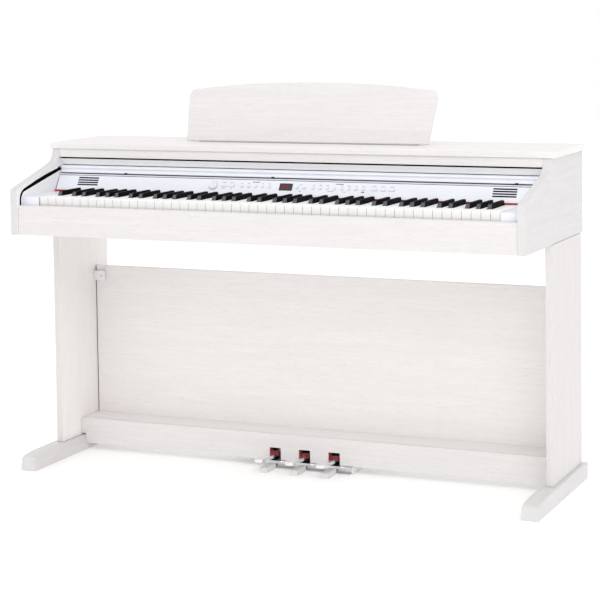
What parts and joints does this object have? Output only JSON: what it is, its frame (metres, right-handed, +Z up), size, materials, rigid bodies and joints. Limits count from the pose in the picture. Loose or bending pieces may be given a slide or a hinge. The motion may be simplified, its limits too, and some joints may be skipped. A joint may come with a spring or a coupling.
{
  "type": "digital piano on stand",
  "caption": "Upright digital piano with a full keyboard, sliding key cover, folding music rest and pedals on a panel stand.",
  "frame": {"origin": "on the floor, under the middle of the piano", "axes": "+X along the keyboard towards the treble, +Y away from the player, +Z up"},
  "size_m": [1.387, 0.4858, 0.9949],
  "materials": {
    "white_foil": "white wood-grain foil, satin",
    "pale_plastic": "moulded, fine texture",
    "white_key": "gloss",
    "black_key": "fine matt grain",
    "red_felt": "pressed felt",
    "window": "smoked window over red digits",
    "chrome": "polished plating",
    "steel": "rolled sheet",
    "black_plastic": "moulded",
    "board_green": "solder mask",
    "pale_rubber": "moulded",
    "hardboard": "painted board"
  },
  "bodies": {
    "cabinet": {"left_side_panel": "white_foil", "right_side_panel": "white_foil", "top_lid": "white_foil", "front_fascia": "white_foil", "key_slip": "white_foil", "left_cheek_block": "white_foil", "right_cheek_block": "white_foil", "left_leg": "white_foil", "right_leg": "white_foil", "left_foot": "white_foil", "right_foot": "white_foil", "rail_front_board": "white_foil", "rail_top_board": "white_foil", "backboard": "white_foil", "control_panel": "pale_plastic", "left_keypad": "pale_plastic", "right_keypad": "pale_plastic", "bass_white_keys": "white_key", "treble_white_keys": "white_key", "bass_black_keys": "black_key", "treble_black_keys": "black_key", "felt_strip": "red_felt", "pedal_felt": "red_felt", "display_window": "window", "pedal_box": "steel", "rest_hinge": "steel", "key_frame": "steel", "left_speaker": "black_plastic", "right_speaker": "black_plastic", "jack_panel": "black_plastic", "circuit_board": "board_green", "pedal_stops": "pale_rubber", "rear_panel": "hardboard", "keybed": "hardboard"},
    "cover_carriage": {"cover_carriage": "steel"},
    "key_cover": {"key_cover": "pale_plastic"},
    "music_rest": {"music_rest": "white_foil"},
    "volume_knob": {"volume_knob": "pale_plastic"},
    "intro_button": {"intro_button": "pale_plastic"},
    "rhythm_button": {"rhythm_button": "pale_plastic"},
    "song_button": {"song_button": "pale_plastic"},
    "record_button": {"record_button": "pale_plastic"},
    "split_button": {"split_button": "pale_plastic"},
    "value_down_button": {"value_down_button": "pale_plastic"},
    "value_up_button": {"value_up_button": "pale_plastic"},
    "key_c": {"key_c": "white_key"},
    "key_c_sharp": {"key_c_sharp": "black_key"},
    "key_d": {"key_d": "white_key"},
    "key_d_sharp": {"key_d_sharp": "black_key"},
    "key_e": {"key_e": "white_key"},
    "key_f": {"key_f": "white_key"},
    "key_f_sharp": {"key_f_sharp": "black_key"},
    "key_g": {"key_g": "white_key"},
    "key_g_sharp": {"key_g_sharp": "black_key"},
    "key_a": {"key_a": "white_key"},
    "key_a_sharp": {"key_a_sharp": "black_key"},
    "key_b": {"key_b": "white_key"},
    "soft_pedal": {"soft_pedal": "chrome"},
    "sostenuto_pedal": {"sostenuto_pedal": "chrome"},
    "damper_pedal": {"damper_pedal": "chrome"}
  },
  "joints": [
    {"name": "cover_slide", "type": "slide", "parent": "cabinet", "child": "cover_carriage", "axis": [0, -1, 0], "range_m": [0, 0.195]},
    {"name": "cover_tilt", "type": "hinge", "parent": "cover_carriage", "child": "key_cover", "pos_m": [0, 0.1601, 0.773], "axis": [1, 0, 0], "range_deg": [0, 13.75]},
    {"name": "rest_fold", "type": "hinge", "parent": "cabinet", "child": "music_rest", "pos_m": [0, 0.0791, 0.8425], "axis": [-1, 0, 0], "range_deg": [0, 68]},
    {"name": "volume_turn", "type": "hinge", "parent": "cabinet", "child": "volume_knob", "pos_m": [-0.203, -0.04165, 0.73972], "axis": [0, -0.866, 0.5], "range_deg": [-140, 140]},
    {"name": "intro_press", "type": "slide", "parent": "cabinet", "child": "intro_button", "axis": [0, 0.866, -0.5], "range_m": [0, 0.001], "stiffness_N_per_m": 600, "springref_m": -0.0006},
    {"name": "rhythm_press", "type": "slide", "parent": "cabinet", "child": "rhythm_button", "axis": [0, 0.866, -0.5], "range_m": [0, 0.001], "stiffness_N_per_m": 600, "springref_m": -0.0006},
    {"name": "song_press", "type": "slide", "parent": "cabinet", "child": "song_button", "axis": [0, 0.866, -0.5], "range_m": [0, 0.001], "stiffness_N_per_m": 600, "springref_m": -0.0006},
    {"name": "record_press", "type": "slide", "parent": "cabinet", "child": "record_button", "axis": [0, 0.866, -0.5], "range_m": [0, 0.001], "stiffness_N_per_m": 600, "springref_m": -0.0006},
    {"name": "split_press", "type": "slide", "parent": "cabinet", "child": "split_button", "axis": [0, 0.866, -0.5], "range_m": [0, 0.001], "stiffness_N_per_m": 600, "springref_m": -0.0006},
    {"name": "value_down_press", "type": "slide", "parent": "cabinet", "child": "value_down_button", "axis": [0, 0.866, -0.5], "range_m": [0, 0.001], "stiffness_N_per_m": 600, "springref_m": -0.0006},
    {"name": "value_up_press", "type": "slide", "parent": "cabinet", "child": "value_up_button", "axis": [0, 0.866, -0.5], "range_m": [0, 0.001], "stiffness_N_per_m": 600, "springref_m": -0.0006},
    {"name": "key_c_press", "type": "hinge", "parent": "cabinet", "child": "key_c", "pos_m": [0, -0.0079, 0.702], "axis": [1, 0, 0], "range_deg": [0, 2.8], "stiffness_Nm_per_rad": 1, "springref_deg": -5.16},
    {"name": "key_c_sharp_press", "type": "hinge", "parent": "cabinet", "child": "key_c_sharp", "pos_m": [0, -0.0079, 0.707], "axis": [1, 0, 0], "range_deg": [0, 3.2], "stiffness_Nm_per_rad": 1, "springref_deg": -5.16},
    {"name": "key_d_press", "type": "hinge", "parent": "cabinet", "child": "key_d", "pos_m": [0, -0.0079, 0.702], "axis": [1, 0, 0], "range_deg": [0, 2.8], "stiffness_Nm_per_rad": 1, "springref_deg": -5.16},
    {"name": "key_d_sharp_press", "type": "hinge", "parent": "cabinet", "child": "key_d_sharp", "pos_m": [0, -0.0079, 0.707], "axis": [1, 0, 0], "range_deg": [0, 3.2], "stiffness_Nm_per_rad": 1, "springref_deg": -5.16},
    {"name": "key_e_press", "type": "hinge", "parent": "cabinet", "child": "key_e", "pos_m": [0, -0.0079, 0.702], "axis": [1, 0, 0], "range_deg": [0, 2.8], "stiffness_Nm_per_rad": 1, "springref_deg": -5.16},
    {"name": "key_f_press", "type": "hinge", "parent": "cabinet", "child": "key_f", "pos_m": [0, -0.0079, 0.702], "axis": [1, 0, 0], "range_deg": [0, 2.8], "stiffness_Nm_per_rad": 1, "springref_deg": -5.16},
    {"name": "key_f_sharp_press", "type": "hinge", "parent": "cabinet", "child": "key_f_sharp", "pos_m": [0, -0.0079, 0.707], "axis": [1, 0, 0], "range_deg": [0, 3.2], "stiffness_Nm_per_rad": 1, "springref_deg": -5.16},
    {"name": "key_g_press", "type": "hinge", "parent": "cabinet", "child": "key_g", "pos_m": [0, -0.0079, 0.702], "axis": [1, 0, 0], "range_deg": [0, 2.8], "stiffness_Nm_per_rad": 1, "springref_deg": -5.16},
    {"name": "key_g_sharp_press", "type": "hinge", "parent": "cabinet", "child": "key_g_sharp", "pos_m": [0, -0.0079, 0.707], "axis": [1, 0, 0], "range_deg": [0, 3.2], "stiffness_Nm_per_rad": 1, "springref_deg": -5.16},
    {"name": "key_a_press", "type": "hinge", "parent": "cabinet", "child": "key_a", "pos_m": [0, -0.0079, 0.702], "axis": [1, 0, 0], "range_deg": [0, 2.8], "stiffness_Nm_per_rad": 1, "springref_deg": -5.16},
    {"name": "key_a_sharp_press", "type": "hinge", "parent": "cabinet", "child": "key_a_sharp", "pos_m": [0, -0.0079, 0.707], "axis": [1, 0, 0], "range_deg": [0, 3.2], "stiffness_Nm_per_rad": 1, "springref_deg": -5.16},
    {"name": "key_b_press", "type": "hinge", "parent": "cabinet", "child": "key_b", "pos_m": [0, -0.0079, 0.702], "axis": [1, 0, 0], "range_deg": [0, 2.8], "stiffness_Nm_per_rad": 1, "springref_deg": -5.16},
    {"name": "soft_pedal_press", "type": "hinge", "parent": "cabinet", "child": "soft_pedal", "pos_m": [0, 0.1321, 0.034], "axis": [1, 0, 0], "range_deg": [0, 4.7], "stiffness_Nm_per_rad": 12, "springref_deg": -11.46},
    {"name": "sostenuto_pedal_press", "type": "hinge", "parent": "cabinet", "child": "sostenuto_pedal", "pos_m": [0, 0.1321, 0.034], "axis": [1, 0, 0], "range_deg": [0, 4.7], "stiffness_Nm_per_rad": 12, "springref_deg": -11.46},
    {"name": "damper_pedal_press", "type": "hinge", "parent": "cabinet", "child": "damper_pedal", "pos_m": [0, 0.1321, 0.034], "axis": [1, 0, 0], "range_deg": [0, 4.7], "stiffness_Nm_per_rad": 12, "springref_deg": -11.46}
  ],
  "couplings": [
    {"joint": "cover_tilt", "follows": "cover_slide", "rad_per_m": 1.2262}
  ]
}
